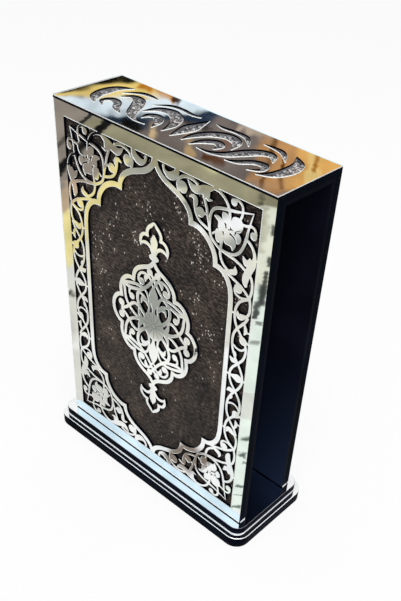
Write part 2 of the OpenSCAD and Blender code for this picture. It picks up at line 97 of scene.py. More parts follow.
def addNode(tree, kind, values=None, links=None, stops=None):
    node = tree.nodes.new("ShaderNode" + kind)
    setNode(tree, node, values, links)
    for i, (place, tone) in enumerate(stops or []):
        ready = node.color_ramp.elements   # a ramp starts with two
        stop = ready[i] if i < len(ready) else ready.new(place)
        stop.position = place
        stop.color = hexColor(tone)
    return node


def newMaterial(name):
    material = bpy.data.materials.new(name)
    material.use_nodes = True
    tree = material.node_tree
    tree.nodes.clear()
    shader = addNode(tree, "BsdfPrincipled")
    addNode(tree, "OutputMaterial", links={"Surface": (shader, "BSDF")})
    coords = addNode(tree, "TexCoord")
    return material, tree, shader, coords


def perMetre(size):
    return 1 / (size * mm)   # texture scale for a pattern of this size in mm


# Silver acrylic mirror: bright, with faint smears and a slight wave in the sheet
mirrorLook = {
    "silver": "#f6f8f8", "shade": "#e8ebec", "shadeAt": 0.35, "silverAt": 0.6,
    "smear": 18, "cleanAt": 0.4, "smearedAt": 0.8, "cleanRough": 0.02, "smearedRough": 0.07,   # smear in mm
    "wave": 50, "waveHeight": 0.2, "waveBump": 0.5,   # wave and its height in mm
}


def mirrorAcrylic(name, look):
    material, tree, shader, coords = newMaterial(name)
    smear = addNode(tree, "TexNoise", {"Scale": perMetre(look["smear"]), "Detail": 4.0},
                    {"Vector": (coords, "Object")})
    tone = addNode(tree, "ValToRGB", links={"Fac": (smear, "Fac")},
                   stops=[(look["shadeAt"], look["shade"]), (look["silverAt"], look["silver"])])
    rough = addNode(tree, "MapRange", {"From Min": look["cleanAt"], "From Max": look["smearedAt"],
                                       "To Min": look["cleanRough"], "To Max": look["smearedRough"]},
                    {"Value": (smear, "Fac")})
    wave = addNode(tree, "TexNoise", {"Scale": perMetre(look["wave"]), "Detail": 1.0},
                   {"Vector": (coords, "Object")})
    bump = addNode(tree, "Bump", {"Strength": look["waveBump"], "Distance": look["waveHeight"] * mm},
                   {"Height": (wave, "Fac")})
    setNode(tree, shader, {"Metallic": 1},
            {"Base Color": (tone, "Color"), "Roughness": (rough, "Result"), "Normal": (bump, "Normal")})
    return material


# Laser cut edge of clear acrylic: pale and glossy, with fine mottling
cutEdgeLook = {
    "pale": "#f3f4f1", "dull": "#d9dcd9", "dullAt": 0.3, "paleAt": 0.6, "mottle": 0.8,   # mm
    "metal": 0, "rough": 0.25, "refraction": 1.49,
}


def cutEdge(name, look):
    material, tree, shader, coords = newMaterial(name)
    mottle = addNode(tree, "TexNoise", {"Scale": perMetre(look["mottle"]), "Detail": 2.0},
                     {"Vector": (coords, "Object")})
    tone = addNode(tree, "ValToRGB", links={"Fac": (mottle, "Fac")},
                   stops=[(look["dullAt"], look["dull"]), (look["paleAt"], look["pale"])])
    setNode(tree, shader, {"Metallic": look["metal"], "Roughness": look["rough"], "IOR": look["refraction"]},
            {"Base Color": (tone, "Color")})
    return material


# Black lacquered board: deep navy black, with a faint orange peel and soft clouds in tone and gloss
lacquerLook = {
    "black": "#04070d", "navy": "#0a101d", "blackAt": 0.35, "navyAt": 0.7, "cloud": 60,   # mm
    "peel": 3, "peelHeight": 0.05, "peelBump": 0.15,   # peel and its height in mm
    "rough": 0.25, "roughSpread": 0.14, "shine": 0.006,
}


def lacquer(name, look):
    material, tree, shader, coords = newMaterial(name)
    cloud = addNode(tree, "TexNoise", {"Scale": perMetre(look["cloud"]), "Detail": 3.0},
                    {"Vector": (coords, "Object")})
    tone = addNode(tree, "ValToRGB", links={"Fac": (cloud, "Fac")},
                   stops=[(look["blackAt"], look["black"]), (look["navyAt"], look["navy"])])
    peel = addNode(tree, "TexNoise", {"Scale": perMetre(look["peel"]), "Detail": 1.0},
                   {"Vector": (coords, "Object")})
    roughest = look["rough"] + look["roughSpread"]
    rough = addNode(tree, "MapRange", {"To Min": look["rough"], "To Max": roughest},
                    {"Value": (cloud, "Fac")})
    bump = addNode(tree, "Bump", {"Strength": look["peelBump"], "Distance": look["peelHeight"] * mm},
                   {"Height": (peel, "Fac")})
    if "foot" in look:   # the tone changes on the way down: painted light
        place = addNode(tree, "SeparateXYZ", links={"Vector": (coords, "Object")})
        down = addNode(tree, "MapRange",
                       {"From Min": look["plainAbove"] * mm, "From Max": look["footBelow"] * mm},
                       {"Value": (place, "Z")})
        tone = addNode(tree, "MixRGB", {"Color2": hexColor(look["foot"])},
                       {"Fac": (down, "Result"), "Color1": (tone, "Color")})
    setNode(tree, shader, {"Specular IOR Level": look["shine"]},
            {"Base Color": (tone, "Color"), "Roughness": (rough, "Result"), "Normal": (bump, "Normal")})
    return material


# Dark brown suede: a slanting nap, cloudy tone and clusters of small bright flecks, denser towards the top
# Its nap is drawn coarser than the real one, so that it shows
suedeLook = {
    "deep": "#080503", "middle": "#241c17", "light": "#5a4d44", "fleck": "#e6dfd6",
    "deepAt": 0.4, "middleAt": 0.49, "lightAt": 0.6,
    "nap": 0.9, "napStretch": 4.0, "napSlant": 8, "napShare": 0.7, "cloud": 30,   # mm, slant in degrees
    "napHeight": 0.4, "napBump": 0.7,   # height in mm
    "fleckSize": 1.2, "fleckStretch": 1.5, "fleckRim": 0.48, "fleckCore": 0.2, "dimmest": 0.2,   # size in mm
    "cluster": 15, "clusterFrom": 0.52, "clusterFull": 0.7, "sparseBelow": 110, "denseAbove": 210,   # mm
    "strayChance": 0.008, "sparseChance": 0.08, "denseChance": 0.56,
    "rough": 0.85, "shine": 0.2, "sheen": 0.1, "sheenRough": 0.4,
}


def suede(name, look):
    material, tree, shader, coords = newMaterial(name)
    slant = addNode(tree, "Mapping", {"vector_type": "TEXTURE", "Scale": (look["napStretch"], 1, 1),
                                      "Rotation": (0, math.radians(look["napSlant"]), 0)},
                    {"Vector": (coords, "Object")})
    nap = addNode(tree, "TexNoise", {"Scale": perMetre(look["nap"]), "Detail": 3.0, "Roughness": 0.65},
                  {"Vector": (slant, "Vector")})
    cloud = addNode(tree, "TexNoise", {"Scale": perMetre(look["cloud"]), "Detail": 5.0, "Roughness": 0.6},
                    {"Vector": (coords, "Object")})
    rest = addNode(tree, "Math", {"operation": "MULTIPLY", 1: 1 - look["napShare"]}, {0: (cloud, "Fac")})
    mixed = addNode(tree, "Math", {"operation": "MULTIPLY_ADD", 1: look["napShare"]},
                    {0: (nap, "Fac"), 2: (rest, "Value")})
    tone = addNode(tree, "ValToRGB", links={"Fac": (mixed, "Value")},
                   stops=[(look["deepAt"], look["deep"]), (look["lightAt"], look["light"]),
                          (look["middleAt"], look["middle"])])
    # Flecks: one in a cell, some cells chosen, by clusters and by height
    drawn = addNode(tree, "Mapping", {"vector_type": "TEXTURE", "Scale": (1, 1, look["fleckStretch"])},
                    {"Vector": (coords, "Object")})
    cells = addNode(tree, "TexVoronoi", {"Scale": perMetre(look["fleckSize"])}, {"Vector": (drawn, "Vector")})
    near = addNode(tree, "MapRange", {"From Min": look["fleckRim"], "From Max": look["fleckCore"]},
                   {"Value": (cells, "Distance")})
    cluster = addNode(tree, "TexNoise", {"Scale": perMetre(look["cluster"]), "Detail": 2.0},
                      {"Vector": (coords, "Object")})
    place = addNode(tree, "SeparateXYZ", links={"Vector": (coords, "Object")})
    # more flecks higher up
    fleckChanceByHeight = addNode(tree, "MapRange",
                     {"From Min": look["sparseBelow"] * mm, "From Max": look["denseAbove"] * mm,
                      "To Min": look["sparseChance"], "To Max": look["denseChance"]},
                     {"Value": (place, "Z")})
    chance = addNode(tree, "MapRange", {"From Min": look["clusterFrom"], "From Max": look["clusterFull"],
                                        "To Min": look["strayChance"]},
                     {"Value": (cluster, "Fac"), "To Max": (fleckChanceByHeight, "Result")})
    pick = addNode(tree, "SeparateColor", links={"Color": (cells, "Color")})
    chosen = addNode(tree, "Math", {"operation": "LESS_THAN"}, {0: (pick, "Red"), 1: (chance, "Result")})
    bright = addNode(tree, "MapRange", {"To Min": look["dimmest"], "To Max": 1.0}, {"Value": (pick, "Green")})
    lit = addNode(tree, "Math", {"operation": "MULTIPLY"}, {0: (near, "Result"), 1: (bright, "Result")})
    fleck = addNode(tree, "Math", {"operation": "MULTIPLY"}, {0: (lit, "Value"), 1: (chosen, "Value")})
    color = addNode(tree, "MixRGB", {"Color2": hexColor(look["fleck"])},
                    {"Fac": (fleck, "Value"), "Color1": (tone, "Color")})
    bump = addNode(tree, "Bump", {"Strength": look["napBump"], "Distance": look["napHeight"] * mm},
                   {"Height": (nap, "Fac")})
    setNode(tree, shader, {"Roughness": look["rough"], "Specular IOR Level": look["shine"],
                           "Sheen Weight": look["sheen"], "Sheen Roughness": look["sheenRough"]},
            {"Base Color": (color, "Color"), "Normal": (bump, "Normal")})
    return material


# Glitter sheet: small silver flakes, each with its own tone and height, drawn coarse enough to show
glitterLook = {
    "dark": "#39373c", "grey": "#949295", "bright": "#ffffff", "darkAt": 0.1, "greyAt": 0.6, "brightAt": 0.95,
    "flake": 1.1, "clump": 7, "height": 0.5, "bump": 0.8,   # flake, clump and height in mm
    "metal": 0.5, "rough": 0.3,
}


def glitter(name, look):
    material, tree, shader, coords = newMaterial(name)
    flake = addNode(tree, "TexVoronoi", {"Scale": perMetre(look["flake"])}, {"Vector": (coords, "Object")})
    pick = addNode(tree, "SeparateColor", links={"Color": (flake, "Color")})
    tone = addNode(tree, "ValToRGB", links={"Fac": (pick, "Red")},
                   stops=[(look["darkAt"], look["dark"]), (look["brightAt"], look["bright"]),
                          (look["greyAt"], look["grey"])])
    clump = addNode(tree, "TexNoise", {"Scale": perMetre(look["clump"]), "Detail": 3.0},
                    {"Vector": (coords, "Object")})
    height = addNode(tree, "Math", {"operation": "ADD"}, {0: (pick, "Green"), 1: (clump, "Fac")})
    bump = addNode(tree, "Bump", {"Strength": look["bump"], "Distance": look["height"] * mm},
                   {"Height": (height, "Value")})
    setNode(tree, shader, {"Metallic": look["metal"], "Roughness": look["rough"]},
            {"Base Color": (tone, "Color"), "Normal": (bump, "Normal")})
    return material


# White adhesive foam: matt, with closed cells that are drawn coarse enough to show
foamLook = {
    "white": "#fcfdfe", "shade": "#eef1f5", "whiteAt": 0.2, "shadeAt": 0.8,
    "cell": 0.9, "depth": 0.1, "bump": 0.4, "rough": 0.9,   # cell and its depth in mm
}


def foam(name, look):
    material, tree, shader, coords = newMaterial(name)
    cell = addNode(tree, "TexVoronoi", {"Scale": perMetre(look["cell"])}, {"Vector": (coords, "Object")})
    tone = addNode(tree, "ValToRGB", links={"Fac": (cell, "Distance")},
                   stops=[(look["whiteAt"], look["white"]), (look["shadeAt"], look["shade"])])
    bump = addNode(tree, "Bump", {"Strength": look["bump"], "Distance": look["depth"] * mm},
                   {"Height": (cell, "Distance")})
    setNode(tree, shader, {"Roughness": look["rough"]},
            {"Base Color": (tone, "Color"), "Normal": (bump, "Normal")})
    return material


mirror = mirrorAcrylic("silverAcrylicMirror", mirrorLook)
flatMirror = mirrorAcrylic("flatAcrylicMirror", dict(mirrorLook, waveHeight=0.02))   # stiffened by its board
wavyMirror = mirrorAcrylic("wavyAcrylicMirror", dict(mirrorLook, waveHeight=0.5))    # loosely glued
paleEdge = cutEdge("paleAcrylicEdge", cutEdgeLook)
polishedLook = dict(cutEdgeLook, pale="#ffffff", dull="#eef2f8", metal=0.6)   # silver seen through the edge
polishedEdge = cutEdge("polishedAcrylicEdge", polishedLook)
smokyEdge = cutEdge("smokyAcrylicEdge", dict(cutEdgeLook, pale="#8f8d90", dull="#626064"))
etchedLine = cutEdge("etchedAcrylicLine", dict(cutEdgeLook, pale="#6b6e68", dull="#4e514c"))
darkEdge = lacquer("blackPaintedEdge", dict(lacquerLook, rough=0.4, shine=0.004))
boardBlack = lacquer("blackLacqueredBoard", lacquerLook)
paintedLightInsideLook = dict(lacquerLook, black="#0f111a", navy="#191b29", foot="#202b43", plainAbove=145, footBelow=20)
navyBoardWithPaintedLight = lacquer("navyLacqueredBoardWithPaintedLight", paintedLightInsideLook)   # lighter than the outside boards, and lighter and bluer towards the foot: painted light inside the case, heights in mm
brownSuede = suede("brownSuede", suedeLook)
silverGlitter = glitter("silverGlitterSheet", glitterLook)
whiteFoam = foam("whiteAdhesiveFoam", foamLook)
print("materials made")

# Pieces: merged copies of the solids, worked up in their place
side = {
    "front": Vector((0, -1, 0)), "back": Vector((0, 1, 0)),
    "closedEnd": Vector((-1, 0, 0)), "openEnd": Vector((1, 0, 0)),
    "top": Vector((0, 0, 1)), "underside": Vector((0, 0, -1)),
}
meshSetup = {
    "mergeWithin": 0.002,    # mm
    "flatWithin": 1,         # degrees between faces that become one
    "sharpFrom": 30,         # degrees
    "broadFrom": 30,         # square mm, such faces are shaded flat
    "facingFrom": 0.9,       # share of a face's normal along a side that it faces
    "edgeSegments": 2,
}


def copyOf(nodeName):
    bm = bmesh.new()
    bm.from_mesh(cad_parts[nodeName].data)
    bmesh.ops.remove_doubles(bm, verts=bm.verts, dist=meshSetup["mergeWithin"] * mm)
    return bm


def softenEdges(bm, width):
    flat = math.radians(meshSetup["flatWithin"])
    bmesh.ops.dissolve_limit(bm, angle_limit=flat, verts=bm.verts, edges=bm.edges)
    limit = math.radians(meshSetup["sharpFrom"])
    sharp = [e for e in bm.edges if e.is_manifold and e.calc_face_angle() > limit]
    bmesh.ops.bevel(bm, geom=sharp, offset=width * mm, affect="EDGES", segments=meshSetup["edgeSegments"],
                    profile=0.5, material=-1)


def looksToward(face, toward):
    return face.normal.dot(toward) > meshSetup["facingFrom"]


# One material number for the faces toward a side, and another for the rest
def paintSide(bm, toward, onSide, elsewhere):
    for face in bm.faces:
        face.material_index = onSide if toward and looksToward(face, toward) else elsewhere


def finishPiece(bm, nodeName, materials):
    for face in bm.faces:
        face.smooth = True
    for edge in bm.edges:
        bend = edge.calc_face_angle() if edge.is_manifold else math.pi
        broad = max(f.calc_area() for f in edge.link_faces) > meshSetup["broadFrom"] * mm * mm
        edge.smooth = bend < math.radians(meshSetup["sharpFrom"]) and not broad
    mesh = bpy.data.meshes.new(nodeName + ".look")
    bm.to_mesh(mesh)
    bm.free()
    for material in materials:
        mesh.materials.append(material)
    piece = bpy.data.objects.new(nodeName + ".look", mesh)
    scene.collection.objects.link(piece)
    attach(piece, "root")
    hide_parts(nodeName)


# Pierced mirror plates: the silver lies behind clear acrylic, so its face is sunk inside a pale cut edge
plateSetup = {"rim": 0.11, "sink": 0.3, "smoke": 0.9, "paint": 1.4, "outline": 0.5}   # mm
plates = {   # outward side and mirror
    "front_frame": (side["front"], mirror),
    "front_medallion": (side["front"], mirror),
    "back_frame": (side["back"], mirror),
    "back_medallion": (side["back"], mirror),
    "end_plate": (side["closedEnd"], wavyMirror),
    "top_plate": (side["top"], wavyMirror),
}
glitterPlates = ("top_plate", "end_plate")
plateFinish = {"silver": 0, "clear": 1, "dark": 2, "etched": 3, "smoky": 4}   # order of a plate's materials
rosetteSetup = {
    "lines": 12, "from": 3.4, "to": 9.6, "width": 0.32, "ring": 2.0, "proud": 0.05,   # mm
    "ringSteps": 32,
}


# Etched lines and a ring on the rosette in the middle of a medallion
def addRosette(bm, nodeName, outward, level, setup):
    low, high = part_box(nodeName)
    middle = (Vector(low) + Vector(high)) / 2
    middle.y = outward.y * level
    known = set(bm.faces)
    width = setup["width"] * mm
    proud = setup["proud"] * mm
    size = Matrix.Diagonal((width, 2 * proud, (setup["to"] - setup["from"]) * mm, 1))
    lift = Matrix.Translation((0, 0, (setup["from"] + setup["to"]) / 2 * mm))
    for i in range(setup["lines"]):
        turn = Matrix.Rotation(i * math.tau / setup["lines"], 4, "Y")
        bmesh.ops.create_cube(bm, size=1, matrix=Matrix.Translation(middle) @ turn @ lift @ size)
    corners = []
    for across, out in ((0, 0), (1, 0), (1, 1), (0, 1)):   # section of the ring
        reach = Vector((0, outward.y * out * proud, setup["ring"] * mm + across * width))
        corners.append(bm.verts.new(middle + reach))
    loop = [bm.edges.new((corners[i], corners[i - 1])) for i in range(len(corners))]
    bmesh.ops.spin(bm, geom=corners + loop, cent=middle, axis=side["back"], angle=math.tau,
                   steps=setup["ringSteps"], use_merge=True)
    added = [f for f in bm.faces if f not in known]
    bmesh.ops.recalc_face_normals(bm, faces=added)
    for face in added:
        face.material_index = plateFinish["etched"]


# Over glitter, a wall round a cut-out is smoky below and dark above,
# and a wall on the outline is dark below and clear above
def wallFinish(height, onOutline, setup):
    if onOutline:
        return "clear" if height > setup["paint"] * mm else "dark"
    return "smoky" if height < setup["smoke"] * mm else "dark"


def makePlate(nodeName, outward, silver, setup):
    bm = copyOf(nodeName)
    low, high = [Vector(corner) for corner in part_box(nodeName)]
    floor = min(v.co.dot(outward) for v in bm.verts)
    level = max(v.co.dot(outward) for v in bm.verts) - setup["sink"] * mm
    overGlitter = nodeName in glitterPlates
    if overGlitter:
        for cut in ("smoke", "paint"):
            bmesh.ops.bisect_plane(bm, geom=bm.verts[:] + bm.edges[:] + bm.faces[:],
                                   plane_co=outward * (floor + setup[cut] * mm), plane_no=outward)

    def onOutline(place):
        room = [min(place[i] - low[i], high[i] - place[i]) for i in range(3) if not outward[i]]
        return min(room) < setup["outline"] * mm

    for face in bm.faces:
        place = face.calc_center_median()
        finish = "dark"
        if looksToward(face, outward) or looksToward(face, -outward):
            finish = "silver"
        elif overGlitter:
            finish = wallFinish(place.dot(outward) - floor, onOutline(place), setup)
        face.material_index = plateFinish[finish]
    outer = [f for f in bm.faces if looksToward(f, outward)]
    rim = bmesh.ops.inset_region(bm, faces=outer, thickness=setup["rim"] * mm, depth=-setup["sink"] * mm,
                                 use_boundary=True, use_even_offset=True)
    for wall in rim["faces"]:
        silvered = overGlitter and onOutline(wall.calc_center_median())
        wall.material_index = plateFinish["silver" if silvered else "clear"]
    if "medallion" in nodeName:
        addRosette(bm, nodeName, outward, level, rosetteSetup)
    finishPiece(bm, nodeName, [silver, paleEdge, darkEdge, etchedLine, smokyEdge])


for plateName, (outward, silver) in plates.items():
    makePlate(plateName, outward, silver, plateSetup)
print("plates made")

# Panels: a covered face, with black edges and back
panels = {
    "front_panel": (side["front"], brownSuede, "brown_suede"),
    "back_panel": (side["back"], brownSuede, "brown_suede"),
    "end_panel": (side["closedEnd"], silverGlitter, "glitter_sheet"),
    "top_panel": (side["top"], silverGlitter, "glitter_sheet"),
}
panelSetup = {"edgeRound": 0.25}   # mm
for panelName, (outward, cover, slotName) in panels.items():
    bm = copyOf(panelName)
    softenEdges(bm, panelSetup["edgeRound"])
    paintSide(bm, outward, onSide=0, elsewhere=1)
    finishPiece(bm, panelName, [cover, darkEdge])
print("panels made")

# Boards of the case, navy on the inside with painted light there, and of the base
boardSetup = {"edgeRound": 0.2}   # mm
boards = {   # which way the inner side looks
    "front_board": side["back"],
    "back_board": side["front"],
    "end_board": side["openEnd"],
    "top_board": side["underside"],
    "lower_tier_board": None,
    "upper_tier_board": None,
}
for boardName, inward in boards.items():
    bm = copyOf(boardName)
    softenEdges(bm, boardSetup["edgeRound"])
    # painted light: the inner side gets the lighter navy lacquer
    paintSide(bm, inward, onSide=1, elsewhere=0)
    finishPiece(bm, boardName, [boardBlack, navyBoardWithPaintedLight] if inward else [boardBlack])
print("boards made")

# Mirror sheets of the base: black rims with a polished edge on top; the upper one's top edge is smoky grey
# instead, painted shade
sheetSetup = {"flatFrom": 0.99, "leanFrom": 0.1}   # upward share of a normal
# the upper sheet is the same acrylic as the lower one: its smoky edge is painted shade
sheets = {"lower_tier_mirror": (0.42, polishedEdge), "upper_tier_mirror": (0.2, smokyEdge)}   # edge in mm
sheetFinish = {"mirror": 0, "edge": 1, "rim": 2}   # order of a sheet's materials
for sheetName, (edgeRound, polished) in sheets.items():
    bm = copyOf(sheetName)
    softenEdges(bm, edgeRound)
    for face in bm.faces:
        finish = "rim"
        if abs(face.normal.z) > sheetSetup["flatFrom"]:
            finish = "mirror"
        elif face.normal.z > sheetSetup["leanFrom"]:
            finish = "edge"
        face.material_index = sheetFinish[finish]
    finishPiece(bm, sheetName, [flatMirror, polished, darkEdge])
print("base mirrors made")

# Foam under the case and between the tiers; under the case its inner side has painted shade
foamSetup = {"edgeRound": 0.04, "squeeze": 0.35}   # mm
foams = {   # which way the side with painted shade, in the navy of the inside of the case, looks
    "tier_foam": None,
    "front_foam": side["back"],
    "back_foam": side["front"],
    "end_foam": side["openEnd"],
}
for foamName, inward in foams.items():
    bm = copyOf(foamName)
    if not inward:   # squeezed out a little by the weight above
        low, high = [Vector(corner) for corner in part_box(foamName)]
        size = high - low
        spread = [1 + 2 * foamSetup["squeeze"] * mm / length for length in size.xy] + [1]
        middle = (low + high) / 2
        bmesh.ops.scale(bm, vec=spread, space=Matrix.Translation(-middle), verts=bm.verts)
    softenEdges(bm, foamSetup["edgeRound"])
    # painted shade: the foam's inner side takes the navy of the inside instead of white
    paintSide(bm, inward, onSide=1, elsewhere=0)
    finishPiece(bm, foamName, [whiteFoam, navyBoardWithPaintedLight] if inward else [whiteFoam])
print("foam made")

# Floor, white background and soft light
studio = {
    "floorSize": 6, "floor": "#f4f4f4", "floorGlow": 0.86, "white": (1, 1, 1, 1), "fill": 0.6,
    "keyPower": 22, "keySize": 1.4, "keyPlace": (0.5, -0.5, 1.9),   # watts and metres
}


# 1 where the camera sees it, straight or by way of gloss or glass
def plainlySeen(tree):
    path = addNode(tree, "LightPath")
    seen = addNode(tree, "Math", {"operation": "MAXIMUM"},
                   {0: (path, "Is Camera Ray"), 1: (path, "Is Glossy Ray")})
    return addNode(tree, "Math", {"operation": "MAXIMUM"},
                   {0: (seen, "Value"), 1: (path, "Is Transmission Ray")})


def makeStudio(setup):
    bm = bmesh.new()
    bmesh.ops.create_grid(bm, x_segments=1, y_segments=1, size=setup["floorSize"] / 2)
    mesh = bpy.data.meshes.new("floor")
    bm.to_mesh(mesh)
    bm.free()
    material, tree, shader, _ = newMaterial("paleFloor")
    setNode(tree, shader, {"Base Color": hexColor(setup["floor"]), "Roughness": 1, "Specular IOR Level": 0})
    share = addNode(tree, "Math", {"operation": "MULTIPLY", 1: setup["floorGlow"]},
                    {0: (plainlySeen(tree), "Value")})
    glow = addNode(tree, "Emission", {"Color": setup["white"], "Strength": 1.0})
    mixed = addNode(tree, "MixShader",
                    links={0: (share, "Value"), 1: (shader, "BSDF"), 2: (glow, "Emission")})
    setNode(tree, tree.nodes["Material Output"], links={"Surface": (mixed, "Shader")})
    mesh.materials.append(material)
    floor = bpy.data.objects.new("floor", mesh)
    scene.collection.objects.link(floor)

    world = bpy.data.worlds.new("studio")
    scene.world = world
    world.use_nodes = True
    tree = world.node_tree
    tree.nodes.clear()
    level = addNode(tree, "MapRange", {"To Min": setup["fill"], "To Max": 1.0},
                    {"Value": (plainlySeen(tree), "Value")})
    sky = addNode(tree, "Background", {"Color": setup["white"]}, {"Strength": (level, "Result")})
    addNode(tree, "OutputWorld", links={"Surface": (sky, "Background")})

    key = bpy.data.lights.new("key", "AREA")
    key.shape = "DISK"
    key.size = setup["keySize"]
    key.energy = setup["keyPower"]
    lamp = bpy.data.objects.new("key", key)
    lamp.location = setup["keyPlace"]
    lamp.rotation_euler = (-Vector(setup["keyPlace"])).to_track_quat("-Z", "Y").to_euler()
    scene.collection.objects.link(lamp)


makeStudio(studio)
print("studio made")

# Glowing coloured cards that only glossy rays see: painted reflections in the mirrors, standing in for a room
wallPlace = {"away": Vector((-0.681, 0.733, 0)), "along": Vector((0.733, 0.681, 0)), "distance": 0.9}
# On the wall, nearest first: tone, middle along and up, half size, lean in degrees and fade, in metres
wallCards = {
    "black": ("#0b0b0a", (-0.169, 0.4955), (0.180, 0.080), -12, 0.006),
    "umber": ("#3a220f", (-0.024, 0.587), (0.014, 0.013), 24, 0.009),
    "orange": ("#c07a1c", (-0.056, 0.574), (0.036, 0.014), 22, 0.010),
    "gold": ("#f0d27c", (-0.215, 0.572), (0.225, 0.029), -3, 0.007),
    "coal": ("#141313", (-0.104, 0.637), (0.024, 0.012), 22, 0.009),
    "sky": ("#e8f5fd", (-0.140, 0.607), (0.200, 0.020), -5, 0.009),
    "navy": ("#243244", (-0.076, 0.619), (0.230, 0.025), -6, 0.014),
    "streakLeft": ("#cfb48b", (-0.066, 0.650), (0.012, 0.026), 0, 0.010),
    "streakMiddle": ("#b99b72", (0.002, 0.680), (0.013, 0.034), 0, 0.012),
    "blush": ("#cbb6a2", (0.122, 0.638), (0.038, 0.015), 18, 0.012),
    "sienna": ("#553826", (0.046, 0.697), (0.030, 0.016), 21, 0.009),
    "rust": ("#7a4a34", (0.068, 0.656), (0.020, 0.020), 0, 0.018),
    "shade": ("#3f3833", (0.010, 0.632), (0.050, 0.014), 20, 0.014),
    "lath": ("#5b3813", (0.178, 0.722), (0.006, 0.036), 0, 0.005),
    "slat": ("#b07328", (0.238, 0.690), (0.007, 0.036), 0, 0.007),
    "straw": ("#f3cf85", (0.235, 0.700), (0.018, 0.060), 0, 0.014),
    "amber": ("#e9b163", (0.300, 0.690), (0.120, 0.100), 0, 0.060),
    "beam": ("#6b4724", (0.152, 0.690), (0.008, 0.080), 8, 0.007),
    "copper": ("#b8895a", (0.220, 0.680), (0.110, 0.110), 0, 0.040),
    "taupe": ("#776c66", (0.000, 0.600), (0.450, 0.190), 0, 0.020),
}
floorTurn = -28   # degrees, the way the long strips lie on the floor
edgeTurn = -36    # and the way the right border of the front plate is seen there
bossTurn = -45    # and the middle of the medallion
# On the floor, lowest first: tone, turn, from and to across, from and to along, fade and unevenness
floorCards = {
    "ash": ("#e0dfd7", 0, -0.50, -0.045, -0.240, -0.005, 0.040, 0.12),
    "pewter": ("#e6e3d9", 0, -0.26, -0.05, -0.38, -0.08, 0.030, 0.12),
    "stone": ("#a8a89b", 0, -0.48, -0.235, -0.48, -0.315, 0.030, 0.12),
    "paper": ("#fdfcf6", 0, -0.180, -0.040, -0.165, -0.080, 0.022, 0.06),
    "slate": ("#9fa29a", bossTurn, -0.008, 0.050, -0.315, -0.190, 0.018, 0.12),
    "dusk": ("#4c493f", 0, -0.244, -0.224, -0.152, -0.137, 0.006, 0.12),
    "mint": ("#f1fbf0", edgeTurn, 0.074, 0.200, -0.318, 0.010, 0.012, 0.08),
    "haze": ("#e0e3da", edgeTurn, 0.076, 0.110, -0.132, -0.094, 0.003, 0.08),
    "leaf1": ("#56645d", edgeTurn, 0.0835, 0.0955, -0.0755, -0.0665, 0.0040, 0.12),
    "leaf2": ("#56645d", edgeTurn, 0.0840, 0.0920, -0.0550, -0.0465, 0.0036, 0.12),
    "leaf3": ("#8f9d94", edgeTurn, 0.0880, 0.0930, -0.0440, -0.0400, 0.0016, 0.12),
    "leaf4": ("#7f8c84", edgeTurn, 0.0845, 0.0925, -0.0178, -0.0135, 0.0018, 0.12),
    "leaf5": ("#a3afa7", edgeTurn, 0.0845, 0.0935, -0.0068, -0.0050, 0.0007, 0.12),
    "leaf6": ("#7b8a82", edgeTurn, 0.0830, 0.0920, 0.0045, 0.0090, 0.0018, 0.12),
    "patch": ("#85796e", 0, -0.008, 0.032, -0.074, -0.040, 0.012, 0.20),
    "tan": ("#988d82", floorTurn, -0.60, -0.195, -1.00, -0.25, 0.020, 0.15),
    "olive": ("#979176", 0, -0.57, -0.10, -0.70, -0.405, 0.020, 0.30),
    "cream": ("#ebe6d0", floorTurn, -0.180, -0.075, -0.52, -0.26, 0.020, 0.12),
    "rose": ("#c4ab8f", floorTurn, -0.246, -0.196, -0.480, -0.25, 0.014, 0.12),
    "gold": ("#f1e19c", floorTurn, -0.210, -0.183, -0.556, -0.27, 0.008, 0.12),
    "goldNear": ("#f1e19c", floorTurn, -0.200, -0.156, -0.505, -0.25, 0.010, 0.12),
    "bloom": ("#d3d29c", 0, -0.352, -0.312, -0.476, -0.452, 0.010, 0.20),
    "thinRail": ("#2e2d2b", floorTurn, -0.292, -0.280, -0.90, -0.40, 0.004, 0.12),
    "broadRail": ("#161616", floorTurn, -0.266, -0.246, -0.90, -0.40, 0.005, 0.12),
    "butter": ("#fffbe2", floorTurn, -0.123, -0.050, -0.429, -0.313, 0.022, 0.06),
    "linen": ("#ecedda", edgeTurn, 0.0705, 0.200, -0.481, -0.295, 0.010, 0.10),
    "putty": ("#bcbaa5", edgeTurn, 0.0670, 0.0885, -0.475, -0.359, 0.008, 0.15),
    "knot": ("#4f4d3c", edgeTurn, 0.0700, 0.0805, -0.510, -0.471, 0.005, 0.15),
    "bough1": ("#3a3b37", edgeTurn, 0.0895, 0.0965, -0.429, -0.400, 0.0022, 0.12),
    "bough2": ("#3f403a", edgeTurn, 0.0895, 0.0965, -0.355, -0.331, 0.0022, 0.12),
    "bough3": ("#2f312e", edgeTurn, 0.0866, 0.0942, -0.324, -0.284, 0.0024, 0.12),
    "bough4": ("#3b3e3b", edgeTurn, 0.0825, 0.0955, -0.296, -0.253, 0.0036, 0.20),
    "bough5": ("#4f5451", edgeTurn, 0.0795, 0.0885, -0.261, -0.228, 0.0026, 0.20),
    "bough6": ("#8a908a", edgeTurn, 0.0840, 0.0940, -0.2250, -0.2170, 0.0022, 0.12),
    "bough7": ("#9aa099", edgeTurn, 0.0810, 0.0920, -0.1930, -0.1845, 0.0022, 0.12),
    "petals": ("#aeb0a7", 0, -0.196, -0.152, -0.366, -0.300, 0.016, 0.25),
    "fork": ("#343432", 0, -0.0725, -0.0640, -0.1610, -0.1455, 0.0026, 0.30),
}
